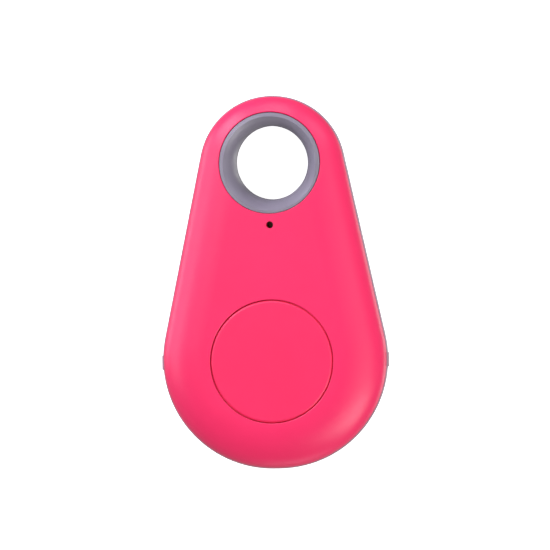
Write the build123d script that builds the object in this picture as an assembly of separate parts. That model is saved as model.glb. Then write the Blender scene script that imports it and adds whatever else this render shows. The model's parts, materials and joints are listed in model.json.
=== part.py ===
"""Bluetooth tracker tag: a teardrop key-finder lying on its rear face, in millimetres.

+Z is the button side, +Y points to the keyring end, and the origin is the middle of the
resting face. The rear cover stands on z = 0. A grey middle frame shows as a thin band at
the seam and carries the keyring sleeve. The front cover holds the push button.
"""

from build123d import *
from math import asin, cos, hypot, pi, sin
import os

# Outline: a crown arc and two slightly spread bulb arcs, joined by common tangents.
BULB_RADIUS = 15.2
BULB_SPREAD = 0.45
CROWN_RADIUS = 10.1
ARC_SPACING = 26.5
BULB_Y = -10.7
CROWN_Y = BULB_Y + ARC_SPACING

# Heights above the resting face.
SEAM_LOW = 5.0
SEAM_HIGH = 6.0
THICKNESS = 11.0
BOARD_LOW = 5.7
BOARD_THICKNESS = 0.8
BOARD_HIGH = BOARD_LOW + BOARD_THICKNESS

# Covers: a drafted wall, an elliptical edge and a shallow dome over the button.
WALL = 1.2
DRAFT = 5.0
EDGE_SQUASH = 0.68
FRONT_EDGE = 5.9
REAR_EDGE = 5.4
DOME_RADIUS = 380.0
INNER_EDGE_CUT = 1.2
SEAM_ROUND = 0.2
FIT_GAP = 0.13
SLIP_GAP = 0.05

# Middle frame.
BAND_PROUD = 0.1
LIP_OUTER = 1.45
LIP_INNER = 2.15
LIP_REACH = 0.55
LEDGE_INNER = 3.0
TAB_LENGTH = 2.0
TAB_PROUD = 0.13

# Keyring sleeve.
KEYRING_Y = 16.65
SLEEVE_RADIUS = 7.0
SLEEVE_GAP = 0.06
THROAT_RADIUS = 5.1
THROAT_LENGTH = 1.6
MOUTH_RADIUS = 6.76
FLARE_RADIUS = 5.55
FLARE_SHARE = 0.62
FRONT_MOUTH = (9.85, -5.6)
REAR_MOUTH = (0.45, 4.0)
COLLAR_WALL = 0.7

# Push button and its opening.
BUTTON_Y = -11.0
BUTTON_RADIUS = 8.47
BUTTON_GAP = 0.15
BUTTON_SHOULDER_HIGH = 10.42
BUTTON_TRAVEL = 0.25
BUTTON_SKIN = 1.1
BUTTON_FLANGE_RADIUS = 9.5
BUTTON_FLANGE_LOW = 9.0
BUTTON_FLANGE_HIGH = 9.5
BUTTON_WALL = 0.9
BUTTON_ROUND = 0.28
STEM_RADIUS = 1.5
GUIDE_LOW = 8.7
RIM_ROUND = 0.12
LIGHT_HOLE_Y = 8.03
LIGHT_HOLE_RADIUS = 0.5

# Posts that pin the front cover to the rear cover through the frame's ears.
POST_PLACES = [(-9.6, 3.5), (9.6, 3.5), (0.0, -22.5)]
POST_RADIUS = 0.75
POST_LOW = 2.6
PILLAR_RADIUS = 1.2
PILLAR_LOW = BOARD_HIGH + 0.1
EAR_RADIUS = 1.7
BOSS_RADIUS = 1.55
BOSS_HIGH = 4.9
BOSS_FLOOR = 2.0

# Circuit board.
BOARD_INSET = 2.4
BOARD_TOP_Y = 11.0
BOARD_NECK_RADIUS = 8.0
TRACE_THICKNESS = 0.05

# Coin cell, 20 mm across and 3.2 mm thick, in its holder under the board.
CELL_Y = -9.3
CELL_RADIUS = 10.0
CELL_LOW = 2.2
CELL_THICKNESS = 3.2
CELL_SKIN = 0.25
CELL_CAP_RADIUS = 8.9
CELL_GASKET_RADIUS = 9.3
CELL_CAN_HIGH = CELL_LOW + 2.95
HOLDER_INNER = 10.25
HOLDER_OUTER = 11.2
HOLDER_LOW = 3.0
HOLDER_RIM = 0.6
CLIP_WIDTH = 4.0
CLIP_THICKNESS = 0.25
CLIP_REACH = 12.0
FINGER_NOTCH = (6.0, 3.0)
STRIP_SIZE = (12.0, 2.4, 0.12)
DIMPLE_RADIUS = 0.9
RIB_PLACES = [(-5.0, -13.3), (5.0, -13.3)]
RIB_LENGTH = 7.0
RIB_WIDTH = 0.8

# Buzzer disc, glued in the rear cover and touched by two leaf springs.
BUZZER_Y = -1.5
BUZZER_RADIUS = 7.5
CERAMIC_RADIUS = 5.0
GLUE_THICKNESS = 0.15
BRASS_THICKNESS = 0.2
CERAMIC_THICKNESS = 0.2
BRASS_LOW = WALL + GLUE_THICKNESS
CERAMIC_LOW = BRASS_LOW + BRASS_THICKNESS
SPRING_WIDTH = 0.8
SPRING_THICKNESS = 0.15
SPRING_RUN = 1.6
SPRING_BEND = 0.1
SPRING_TOUCH = 0.02
POSITIVE_SPRING_PLACE = (-1.4, 2.9)
NEGATIVE_SPRING_PLACE = (3.2, 3.6)

# Tactile switch under the button.
SWITCH_SIZE = 5.2
SWITCH_HEIGHT = 1.2
SWITCH_PLATE = 0.2
SWITCH_FOLD = (1.6, 0.6)
SWITCH_WELL_RADIUS = 2.2
LEG_SIZE = (0.7, 0.6, 0.15)
LEG_SPREAD = 1.6
PLUNGER_RADIUS = 1.3
PLUNGER_COLLAR_RADIUS = 1.9
PLUNGER_COLLAR_LOW = BOARD_HIGH + 0.62
PLUNGER_COLLAR_HIGH = BOARD_HIGH + 0.95
PLUNGER_TOP = 8.45
DOME_LOW = BOARD_HIGH + 0.3
DOME_SPARE = 0.03
DOME_RISE = BUTTON_TRAVEL + DOME_SPARE
DOME_SHEET = 0.08
DOME_FOOT_RADIUS = 2.0

# Parts on the board: places as (x, y) and sizes as (length, width, height).
RADIO_PLACE = (-5.4, -0.6)
RADIO_SIZE = (5.0, 5.0, 0.85)
RADIO_CHAMFER = 0.08
RADIO_DIMPLE = (0.3, 0.07)
LAND_SIZE = (0.3, 0.25, 0.2)
LAND_PITCH = 0.5
LANDS_A_SIDE = 8
CRYSTAL_LID_STEP = 0.3
CRYSTAL_BASE_SHARE = 0.6
MAIN_CRYSTAL = ((-1.0, 1.6), (3.2, 2.5, 0.7))
CLOCK_CRYSTAL = ((-9.6, -3.6), (1.5, 3.2, 0.7))
LED_PLACE = (0.0, 8.1)
LED_BASE = (1.6, 0.8, 0.3)
LED_LENS = (1.1, 0.8, 0.4)
CAPACITOR_SIZE = (1.0, 0.5, 0.5)
CAPACITOR_PLACES = [(-1.0, -1.2), (1.0, -1.2), (-9.4, 0.6)]
RESISTOR_SIZE = (1.0, 0.5, 0.35)
RESISTOR_PLACES = [(1.0, -2.6), (-1.0, -2.6), (2.0, 8.1)]
INDUCTOR_PLACE = (6.2, -1.6)
INDUCTOR_RADIUS = 1.9
INDUCTOR_WAIST = 1.5
INDUCTOR_FLANGE = 0.4
INDUCTOR_HEIGHT = 1.8
TRANSISTOR_PLACE = (4.2, 2.2)
TRANSISTOR_SIZE = (2.9, 1.3, 0.95)
TRANSISTOR_LEG = (0.4, 0.7, 0.2)
TRANSISTOR_LEG_PITCH = 0.95
ANTENNA_PLACE = (-5.6, 5.0)
ANTENNA_LINE = 0.4
ANTENNA_PITCH = 0.9
ANTENNA_REACH = 3.0
ANTENNA_TURNS = 5
BEAD_LOW_RADIUS = 0.42
BEAD_TOP_RADIUS = 0.22
BEAD_HEIGHT = 0.3
BEAD_SPREAD = 3.75
LOOSE_BEADS = [(10.9, CELL_Y), (-10.9, CELL_Y), (-1.2, 5.0), (4.6, 5.0)]

CENTRED_ON_FLOOR = (Align.CENTER, Align.CENTER, Align.MIN)


def disc(x, y, low, high, radius):
    """Upright cylinder between two heights."""
    return Pos(x, y, low) * Cylinder(radius, high - low, align=CENTRED_ON_FLOOR)


def ring(x, y, low, high, outer, inner):
    """Upright tube between two heights."""
    return disc(x, y, low, high, outer) - disc(x, y, low, high, inner)


def block(x, y, low, length, width, height):
    """Box standing on a height, centred on a point."""
    return Pos(x, y, low) * Box(length, width, height, align=CENTRED_ON_FLOOR)


def on_left(point):
    """The mirror image of a point on the right."""
    return (-point[0], point[1])


def outline(inset=0.0):
    """Teardrop face, drawn inset from the covers' outer edge."""
    bulb = BULB_RADIUS - inset
    crown = CROWN_RADIUS - inset
    span = hypot(BULB_SPREAD, ARC_SPACING)
    lean = asin((BULB_RADIUS - CROWN_RADIUS) / span) + asin(BULB_SPREAD / span)
    halfway = (lean - pi / 2) / 2
    high = (crown * cos(lean), CROWN_Y + crown * sin(lean))
    low = (BULB_SPREAD + bulb * cos(lean), BULB_Y + bulb * sin(lean))
    side = (BULB_SPREAD + bulb * cos(halfway), BULB_Y + bulb * sin(halfway))
    foot = (BULB_SPREAD, BULB_Y - bulb)
    edges = [
        Line(low, high),
        ThreePointArc(high, (0, CROWN_Y + crown), on_left(high)),
        Line(on_left(high), on_left(low)),
        ThreePointArc(on_left(low), on_left(side), on_left(foot)),
        Line(on_left(foot), foot),
        ThreePointArc(foot, side, low),
    ]
    return make_face(Wire(edges))


def slab(outer_inset, low, high):
    """Teardrop plate between two heights."""
    return Pos(0, 0, low) * extrude(outline(outer_inset), amount=high - low)


def band(outer_inset, inner_inset, low, high):
    """Teardrop ring between two heights."""
    return slab(outer_inset, low, high) - slab(inner_inset, low, high)


def domed_half(inset, rise, edge):
    """Half pebble on z = 0 with a domed top, tallest over the button."""
    tall = extrude(outline(inset), amount=rise / EDGE_SQUASH + WALL, taper=DRAFT)
    radius = DOME_RADIUS * EDGE_SQUASH
    centre = Pos(0, BUTTON_Y, rise / EDGE_SQUASH - radius)
    body = tall & centre * Rot(0, 90, 0) * Sphere(radius)
    body = fillet(body.faces().sort_by(Axis.Z)[-1].edges(), edge)
    return scale(body, by=(1, 1, EDGE_SQUASH))


def flat_half(inset, rise, edge):
    """Half pebble on z = 0 with a flat top."""
    body = extrude(outline(inset), amount=rise / EDGE_SQUASH, taper=DRAFT)
    body = fillet(body.faces().sort_by(Axis.Z)[-1].edges(), edge)
    return scale(body, by=(1, 1, EDGE_SQUASH))


def rounded_seam(half):
    """The half pebble with its edge at the seam rounded."""
    return fillet(half.faces().sort_by(Axis.Z)[0].edges(), SEAM_ROUND)


def front_form(inset=0.0):
    """Solid front half: the cover's outer shape, or its cavity when inset."""
    edge = FRONT_EDGE - inset * INNER_EDGE_CUT
    half = domed_half(inset, THICKNESS - SEAM_HIGH - inset, edge)
    return Pos(0, 0, SEAM_HIGH) * (half if inset else rounded_seam(half))


def rear_form(inset=0.0):
    """Solid rear half, flat where the tag rests, or its cavity when inset."""
    edge = REAR_EDGE - inset * INNER_EDGE_CUT
    half = flat_half(inset, SEAM_LOW - inset, edge)
    return Pos(0, 0, SEAM_LOW) * mirror(half if inset else rounded_seam(half), Plane.XY)


def rim_edges(form, y, radius):
    """The edges where an upright hole about (0, y) meets a form's outer face."""
    middle = (SEAM_LOW + SEAM_HIGH) / 2

    def on_rim(edge):
        points = [edge.position_at(share) for share in (0, 0.3, 0.7, 1)]
        gaps = [abs(hypot(point.X, point.Y - y) - radius) for point in points]
        clear = [abs(point.Z - middle) > 1 for point in points]
        return edge.geom_type != GeomType.LINE and max(gaps) < SLIP_GAP and all(clear)

    return form.edges().filter_by(on_rim)


def posts(low, high, radius):
    """The three upright cylinders on the posts' places."""
    return [disc(x, y, low, high, radius) for x, y in POST_PLACES]


def rounded_hole(form, y, radius):
    """The form with a round hole through it, its rim at the outer face rounded."""
    cut = form - disc(0, y, 0, THICKNESS + WALL, radius)
    return fillet(rim_edges(cut, y, radius), RIM_ROUND)


def front_cover(form, cavity):
    """Domed shell with the button opening, light hole, sleeve collar and three posts."""
    sleeve_hole = SLEEVE_RADIUS + SLEEVE_GAP
    guide_inner = BUTTON_FLANGE_RADIUS + FIT_GAP
    opened = rounded_hole(form, BUTTON_Y, BUTTON_RADIUS + BUTTON_GAP)
    opened = rounded_hole(opened, KEYRING_Y, sleeve_hole)
    opened -= disc(0, LIGHT_HOLE_Y, SEAM_HIGH, THICKNESS, LIGHT_HOLE_RADIUS)
    collar = disc(0, KEYRING_Y, SEAM_HIGH, THICKNESS, sleeve_hole + COLLAR_WALL)
    guide = ring(0, BUTTON_Y, GUIDE_LOW, THICKNESS, guide_inner + BUTTON_WALL, guide_inner)
    inside = collar + guide + posts(PILLAR_LOW, THICKNESS, PILLAR_RADIUS)
    shell = (opened - cavity) + (inside & opened)
    return shell + posts(POST_LOW, PILLAR_LOW + WALL, POST_RADIUS)


def rear_cover(form, cavity):
    """Flat-backed shell with post bosses, a sleeve collar and ribs under the cell."""
    sleeve_hole = SLEEVE_RADIUS + SLEEVE_GAP
    collar = disc(0, KEYRING_Y, 0, SEAM_LOW, sleeve_hole + COLLAR_WALL)
    bosses = posts(0, BOSS_HIGH, BOSS_RADIUS)
    rib_height = CELL_LOW - SLIP_GAP
    ribs = [block(x, y, 0, RIB_WIDTH, RIB_LENGTH, rib_height) for x, y in RIB_PLACES]
    opened = rounded_hole(form, KEYRING_Y, sleeve_hole)
    shell = (opened - cavity) + ((collar + bosses + ribs) & opened)
    return shell - posts(BOSS_FLOOR, BOSS_HIGH, POST_RADIUS + FIT_GAP)


def mouth(throat_z, mouth_place):
    """Flare from the throat to a mouth circle that is tilted to the cover's slope."""
    mouth_z, tilt = mouth_place
    middle_z = throat_z + FLARE_SHARE * (mouth_z - throat_z)
    way = 1 if mouth_z > throat_z else -1
    throat = Pos(0, KEYRING_Y, throat_z) * Circle(THROAT_RADIUS)
    waist = Pos(0, KEYRING_Y, middle_z) * Rot(tilt / 2, 0, 0) * Circle(FLARE_RADIUS)
    rim = Pos(0, KEYRING_Y, mouth_z) * Rot(tilt, 0, 0) * Circle(MOUTH_RADIUS)
    flare = loft([throat, waist, rim])
    return flare + extrude(rim, amount=2 * way * WALL, dir=(0, 0, 1))


def sleeve(front, rear):
    """Keyring sleeve: a round throat that flares to a thin lip on both faces."""
    middle = (SEAM_LOW + SEAM_HIGH) / 2
    half = THROAT_LENGTH / 2
    tube = disc(0, KEYRING_Y, 0, THICKNESS, SLEEVE_RADIUS)
    tube &= front + rear + slab(0, SEAM_LOW, SEAM_HIGH)
    tube -= disc(0, KEYRING_Y, middle - half, middle + half, THROAT_RADIUS)
    tube -= mouth(middle + half, FRONT_MOUTH)
    return tube - mouth(middle - half, REAR_MOUTH)


def middle_frame(front, rear):
    """Grey band at the seam with lips, a board ledge, ears, pry tabs and the sleeve."""
    frame = band(-BAND_PROUD, LEDGE_INNER, SEAM_LOW, BOARD_LOW)
    frame += band(-BAND_PROUD, LIP_INNER, BOARD_LOW, SEAM_HIGH)
    frame += band(LIP_OUTER, LIP_INNER, SEAM_LOW - LIP_REACH, SEAM_HIGH + LIP_REACH)
    frame += posts(SEAM_LOW, BOARD_LOW, EAR_RADIUS)
    frame += middle_web()
    tab_x = BULB_SPREAD + BULB_RADIUS + BAND_PROUD + TAB_PROUD - WALL / 2
    for side in (-1, 1):
        frame += block(side * tab_x, BUTTON_Y, SEAM_LOW, WALL, TAB_LENGTH, SEAM_HIGH - SEAM_LOW)
    collar_room = SLEEVE_RADIUS + COLLAR_WALL + 2 * FIT_GAP
    frame -= disc(0, KEYRING_Y, SEAM_HIGH, THICKNESS, collar_room)
    frame -= disc(0, KEYRING_Y, 0, SEAM_LOW, collar_room)
    frame -= disc(0, KEYRING_Y, 0, THICKNESS, SLEEVE_RADIUS - FIT_GAP)
    frame -= posts(0, SEAM_LOW, BOSS_RADIUS + FIT_GAP)
    frame -= posts(SEAM_LOW, BOARD_LOW, POST_RADIUS + FIT_GAP)
    return frame + sleeve(front, rear)


def middle_web():
    """Plate that joins the band to the sleeve, above the board's end."""
    plate = slab(0, SEAM_LOW, SEAM_HIGH)
    crown_end = Pos(0, BOARD_TOP_Y + FIT_GAP, SEAM_LOW) * Box(
        2 * CROWN_RADIUS + WALL, 2 * CROWN_RADIUS, 2,
        align=(Align.CENTER, Align.MIN, Align.MIN),
    )
    neck = disc(0, KEYRING_Y, SEAM_LOW, SEAM_HIGH, BOARD_NECK_RADIUS - FIT_GAP)
    return (plate & crown_end) + neck


def push_button(form):
    """Round cap flush with the dome, with a shoulder, a retaining flange, ribs and a stem."""
    low = BUTTON_FLANGE_LOW
    cap = disc(0, BUTTON_Y, low, THICKNESS + WALL, BUTTON_RADIUS) & form
    cap = fillet(cap.faces().sort_by(Axis.Z)[-1].edges(), BUTTON_ROUND)
    cap += disc(0, BUTTON_Y, low, BUTTON_SHOULDER_HIGH, BUTTON_RADIUS + BUTTON_GAP - SLIP_GAP)
    cap += disc(0, BUTTON_Y, low, BUTTON_FLANGE_HIGH, BUTTON_FLANGE_RADIUS)
    pocket = disc(0, BUTTON_Y, low, THICKNESS - BUTTON_SKIN, BUTTON_RADIUS - BUTTON_WALL)
    rib_length = 2 * BUTTON_RADIUS - BUTTON_WALL
    rib_height = THICKNESS - BUTTON_SKIN - low
    for angle in (0, 90):
        rib = Rot(0, 0, angle) * Box(rib_length, BUTTON_WALL, rib_height, align=CENTRED_ON_FLOOR)
        pocket -= Pos(0, BUTTON_Y, low) * rib
    stem = disc(0, BUTTON_Y, PLUNGER_TOP + SPRING_TOUCH, THICKNESS - BUTTON_SKIN, STEM_RADIUS)
    return (cap - pocket) + stem


def circuit_board():
    """Teardrop board cut round the sleeve, with a notch for each post."""
    board = slab(BOARD_INSET, BOARD_LOW, BOARD_HIGH)
    board -= disc(0, KEYRING_Y, BOARD_LOW, BOARD_HIGH, BOARD_NECK_RADIUS)
    beyond = Pos(0, BOARD_TOP_Y, BOARD_LOW) * Box(
        2 * BULB_RADIUS, 2 * CROWN_RADIUS, BOARD_THICKNESS,
        align=(Align.CENTER, Align.MIN, Align.MIN),
    )
    board -= beyond
    return board - posts(BOARD_LOW, BOARD_HIGH, POST_RADIUS + 2 * FIT_GAP)


def antenna_trace():
    """Copper meander on the left horn of the board: rungs joined at alternate ends."""
    right, start_y = ANTENNA_PLACE
    left = right - ANTENNA_REACH
    rung = ANTENNA_REACH
    copper = []
    for turn in range(ANTENNA_TURNS):
        y = start_y + turn * ANTENNA_PITCH
        middle_x = (left + right) / 2
        copper.append(block(middle_x, y, BOARD_HIGH, rung, ANTENNA_LINE, TRACE_THICKNESS))
    for turn in range(1, ANTENNA_TURNS):
        y = start_y + (turn - 0.5) * ANTENNA_PITCH
        end_x = right - ANTENNA_LINE / 2 if turn % 2 else left + ANTENNA_LINE / 2
        copper.append(
            block(end_x, y, BOARD_HIGH, ANTENNA_LINE, ANTENNA_PITCH, TRACE_THICKNESS)
        )
    return copper[0].fuse(*copper[1:])


def switch_base():
    """Square moulded base of the switch, with a round well."""
    base = block(0, BUTTON_Y, BOARD_HIGH, SWITCH_SIZE, SWITCH_SIZE, SWITCH_HEIGHT - SWITCH_PLATE)
    return base - disc(0, BUTTON_Y, DOME_LOW, BOARD_HIGH + SWITCH_HEIGHT, SWITCH_WELL_RADIUS)


def switch_plate():
    """Steel plate that closes the switch, folded down at two sides."""
    low = BOARD_HIGH + SWITCH_HEIGHT - SWITCH_PLATE
    width = SWITCH_SIZE + 2 * SWITCH_PLATE
    plate = block(0, BUTTON_Y, low, width, SWITCH_SIZE, SWITCH_PLATE)
    fold_width, fold_height = SWITCH_FOLD
    for side in (-1, 1):
        x = side * (SWITCH_SIZE + SWITCH_PLATE) / 2
        plate += block(x, BUTTON_Y, low - fold_height, SWITCH_PLATE, fold_width, fold_height)
    return plate - disc(0, BUTTON_Y, low, low + SWITCH_PLATE, PLUNGER_RADIUS + 2 * SLIP_GAP)


def switch_plunger():
    """Round plunger with a collar that the plate holds down."""
    shaft = disc(0, BUTTON_Y, PLUNGER_COLLAR_LOW, PLUNGER_TOP, PLUNGER_RADIUS)
    shaft = chamfer(shaft.edges().sort_by(Axis.Z)[-1], BUTTON_ROUND)
    return shaft + disc(
        0, BUTTON_Y, PLUNGER_COLLAR_LOW, PLUNGER_COLLAR_HIGH, PLUNGER_COLLAR_RADIUS
    )


def switch_dome():
    """Snap dome: a shallow spherical sheet that springs the plunger back."""
    radius = (DOME_FOOT_RADIUS ** 2 + DOME_RISE ** 2) / (2 * DOME_RISE)
    centre = Pos(0, BUTTON_Y, DOME_LOW + DOME_RISE - radius)
    sheet = centre * (Sphere(radius) - Sphere(radius - DOME_SHEET))
    return sheet & disc(0, BUTTON_Y, DOME_LOW, DOME_LOW + WALL, DOME_FOOT_RADIUS)


def on_board(place, size, lift=0.0):
    """Box standing on the board, or lifted above it."""
    return block(place[0], place[1], BOARD_HIGH + lift, *size)


def switch_legs():
    """Four gull-wing legs that solder the switch down."""
    reach = (SWITCH_SIZE + LEG_SIZE[0]) / 2
    corners = [(side, end) for side in (-1, 1) for end in (-1, 1)]
    return [
        on_board((side * reach, BUTTON_Y + end * LEG_SPREAD), LEG_SIZE)
        for side, end in corners
    ]


def radio_chip():
    """Flat square radio package with a chamfered top and a pin-one dimple."""
    x, y = RADIO_PLACE
    length, width, height = RADIO_SIZE
    radius, depth = RADIO_DIMPLE
    top = BOARD_HIGH + height
    chip = on_board(RADIO_PLACE, RADIO_SIZE)
    chip = chamfer(chip.faces().sort_by(Axis.Z)[-1].edges(), RADIO_CHAMFER)
    corner = (x - length / 2 + 2 * radius, y + width / 2 - 2 * radius)
    return chip - disc(*corner, top - depth, top, radius)


def radio_chip_pads():
    """Rows of solder lands round the radio package."""
    x, y = RADIO_PLACE
    long, wide, high = LAND_SIZE
    reach = (RADIO_SIZE[0] + long) / 2
    pads = []
    for step in range(LANDS_A_SIDE):
        shift = (step - (LANDS_A_SIDE - 1) / 2) * LAND_PITCH
        for side in (-1, 1):
            pads.append(on_board((x + side * reach, y + shift), (long, wide, high)))
            pads.append(on_board((x + shift, y + side * reach), (wide, long, high)))
    return pads


def crystal(place, size):
    """Ceramic-based crystal with a metal lid."""
    length, width, height = size
    base_height = height * CRYSTAL_BASE_SHARE
    lid = (length - CRYSTAL_LID_STEP, width - CRYSTAL_LID_STEP, height - base_height)
    return on_board(place, (length, width, base_height)) + on_board(place, lid, base_height)


def indicator_led():
    """Surface-mount LED under the light hole: a base and a clear lens block."""
    return on_board(LED_PLACE, LED_BASE) + on_board(LED_PLACE, LED_LENS, LED_BASE[2])


def boost_inductor():
    """Drum inductor that drives the buzzer: two flanges and a wound waist."""
    x, y = INDUCTOR_PLACE
    top = BOARD_HIGH + INDUCTOR_HEIGHT
    drum = disc(x, y, BOARD_HIGH, BOARD_HIGH + INDUCTOR_FLANGE, INDUCTOR_RADIUS)
    drum += disc(x, y, BOARD_HIGH, top, INDUCTOR_WAIST)
    return drum + disc(x, y, top - INDUCTOR_FLANGE, top, INDUCTOR_RADIUS)


def driver_transistor():
    """Three-legged transistor: a resin body and legs at both long sides."""
    x, y = TRANSISTOR_PLACE
    leg_y = (TRANSISTOR_SIZE[1] + TRANSISTOR_LEG[1]) / 2 - TRANSISTOR_LEG[2] / 2
    body = on_board(TRANSISTOR_PLACE, TRANSISTOR_SIZE, TRANSISTOR_LEG[2] / 2)
    for shift, side in ((-TRANSISTOR_LEG_PITCH, -1), (TRANSISTOR_LEG_PITCH, -1), (0, 1)):
        body += on_board((x + shift, y + side * leg_y), TRANSISTOR_LEG)
    return body


def battery_can():
    """Positive can of the coin cell: a steel cup, open towards the board."""
    can = disc(0, CELL_Y, CELL_LOW, CELL_CAN_HIGH, CELL_RADIUS)
    can = fillet(can.edges().sort_by(Axis.Z)[0], CELL_SKIN)
    return can - disc(0, CELL_Y, CELL_LOW + CELL_SKIN, CELL_CAN_HIGH, CELL_GASKET_RADIUS)


def battery_gasket():
    """Plastic ring between the cell's can and cap."""
    low = CELL_LOW + CELL_SKIN
    return ring(0, CELL_Y, low, CELL_CAN_HIGH + SLIP_GAP, CELL_GASKET_RADIUS, CELL_CAP_RADIUS)


def battery_cap():
    """Negative cap of the coin cell, with its contents as one solid."""
    high = CELL_LOW + CELL_THICKNESS
    cap = disc(0, CELL_Y, CELL_LOW + CELL_SKIN, high, CELL_CAP_RADIUS)
    return fillet(cap.edges().sort_by(Axis.Z)[-1], CELL_SKIN)


def battery_holder():
    """Plastic ring under the board, open at the two clips and at a finger notch."""
    holder = ring(0, CELL_Y, HOLDER_LOW, BOARD_LOW, HOLDER_OUTER, HOLDER_INNER)
    window = CLIP_WIDTH + 4 * SLIP_GAP
    span = 2 * HOLDER_OUTER + WALL
    rim_high = HOLDER_LOW + HOLDER_RIM
    holder -= block(0, CELL_Y, rim_high, span, window, BOARD_LOW - rim_high)
    notch = block(0, CELL_Y - HOLDER_OUTER, HOLDER_LOW, *FINGER_NOTCH, 2 * HOLDER_RIM)
    return holder - notch


def positive_clips():
    """Two spring blades against the cell's rim, each with a soldered foot."""
    blade_x = CELL_RADIUS + SLIP_GAP + CLIP_THICKNESS / 2
    foot_length = CLIP_REACH - CELL_RADIUS - SLIP_GAP
    clips = []
    for side in (-1, 1):
        low = HOLDER_LOW + HOLDER_RIM + SLIP_GAP
        height = BOARD_LOW - low
        blade = block(side * blade_x, CELL_Y, low, CLIP_THICKNESS, CLIP_WIDTH, height)
        foot_x = side * (CLIP_REACH - foot_length / 2)
        foot_low = BOARD_LOW - CLIP_THICKNESS
        foot = block(foot_x, CELL_Y, foot_low, foot_length, CLIP_WIDTH / 2, CLIP_THICKNESS)
        clips.append(blade + foot)
    return clips


def negative_contact():
    """Flat strip under the board with a dimple that meets the cell's cap."""
    strip = block(0, CELL_Y, BOARD_LOW - STRIP_SIZE[2], *STRIP_SIZE)
    dimple_low = CELL_LOW + CELL_THICKNESS + SPRING_TOUCH
    return strip + disc(0, CELL_Y, dimple_low, BOARD_LOW, DIMPLE_RADIUS)


def buzzer_glue():
    """Adhesive ring that holds the buzzer disc to the rear cover."""
    return ring(0, BUZZER_Y, WALL, BRASS_LOW, BUZZER_RADIUS, CERAMIC_RADIUS)


def leaf_spring(place, contact_height):
    """Z-shaped spring strip from the board down to the buzzer disc."""
    low = contact_height + SPRING_TOUCH
    sheet, run, bend = SPRING_THICKNESS, SPRING_RUN, SPRING_BEND
    outline_points = [
        (0, BOARD_LOW), (run, BOARD_LOW), (run, BOARD_LOW - sheet),
        (sheet + bend, BOARD_LOW - sheet), (run, low + sheet), (run, low),
        (run - sheet, low), (0, BOARD_LOW - sheet - bend),
    ]
    face = Plane.XZ * make_face(Polyline(outline_points, close=True))
    strip = extrude(face, amount=SPRING_WIDTH / 2, both=True)
    return Pos(place[0] - run + sheet, place[1], 0) * strip


def solder_joints():
    """Solder beads beside the switch legs and where wires and pads end."""
    legs = [(side, end) for side in (-1, 1) for end in (-1, 1)]
    places = [(side * BEAD_SPREAD, BUTTON_Y + end * LEG_SPREAD) for side, end in legs]
    bead = Cone(BEAD_LOW_RADIUS, BEAD_TOP_RADIUS, BEAD_HEIGHT, align=CENTRED_ON_FLOOR)
    return [Pos(x, y, BOARD_HIGH) * bead for x, y in places + LOOSE_BEADS]


def write(name, shape):
    """One STEP file per named piece, a group of solids as one compound."""
    if isinstance(shape, (list, tuple)):
        shape = Compound(children=list(shape))
    export_step(shape, f"parts/{name}.step")


def main():
    os.makedirs("parts", exist_ok=True)
    front = front_form()
    rear = rear_form()
    write("front_cover", front_cover(front, front_form(WALL)))
    write("rear_cover", rear_cover(rear, rear_form(WALL)))
    write("middle_frame", middle_frame(front, rear))
    write("push_button", push_button(front))
    write("circuit_board", circuit_board())
    write("antenna_trace", antenna_trace())
    write("switch_base", switch_base())
    write("switch_plate", switch_plate())
    write("switch_plunger", switch_plunger())
    write("switch_dome", switch_dome())
    write("switch_legs", switch_legs())
    write("radio_chip", radio_chip())
    write("radio_chip_pads", radio_chip_pads())
    write("main_crystal", crystal(*MAIN_CRYSTAL))
    write("clock_crystal", crystal(*CLOCK_CRYSTAL))
    write("indicator_led", indicator_led())
    write("chip_capacitors", [on_board(place, CAPACITOR_SIZE) for place in CAPACITOR_PLACES])
    write("chip_resistors", [on_board(place, RESISTOR_SIZE) for place in RESISTOR_PLACES])
    write("boost_inductor", boost_inductor())
    write("driver_transistor", driver_transistor())
    write("solder_joints", solder_joints())
    write("battery_can", battery_can())
    write("battery_gasket", battery_gasket())
    write("battery_cap", battery_cap())
    write("battery_holder", battery_holder())
    write("battery_positive_clips", positive_clips())
    write("battery_negative_contact", negative_contact())
    write("buzzer_adhesive_ring", buzzer_glue())
    write("buzzer_disc", disc(0, BUZZER_Y, BRASS_LOW, CERAMIC_LOW, BUZZER_RADIUS))
    ceramic_high = CERAMIC_LOW + CERAMIC_THICKNESS
    write("buzzer_ceramic", disc(0, BUZZER_Y, CERAMIC_LOW, ceramic_high, CERAMIC_RADIUS))
    write("buzzer_positive_spring", leaf_spring(POSITIVE_SPRING_PLACE, ceramic_high))
    write("buzzer_negative_spring", leaf_spring(NEGATIVE_SPRING_PLACE, CERAMIC_LOW))


main()
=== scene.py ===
import bmesh
import bpy
import json
import math
from mathutils import Matrix, Vector


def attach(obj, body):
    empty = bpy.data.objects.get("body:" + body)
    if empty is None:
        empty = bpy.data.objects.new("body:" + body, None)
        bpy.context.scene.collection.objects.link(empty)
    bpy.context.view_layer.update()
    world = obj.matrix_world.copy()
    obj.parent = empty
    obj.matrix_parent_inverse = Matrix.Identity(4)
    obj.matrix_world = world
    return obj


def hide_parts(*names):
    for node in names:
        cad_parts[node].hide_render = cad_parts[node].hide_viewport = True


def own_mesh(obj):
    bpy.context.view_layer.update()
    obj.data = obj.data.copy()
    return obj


# Bluetooth tracker tag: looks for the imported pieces, and the fine detail that sits on them.
# Lengths are in millimetres unless a name says otherwise, and MM turns them into metres.
MM = 0.001
# The wave texture's own scale at which one wave takes one unit of space.
ONE_WAVE_PER_UNIT = 0.314

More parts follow.
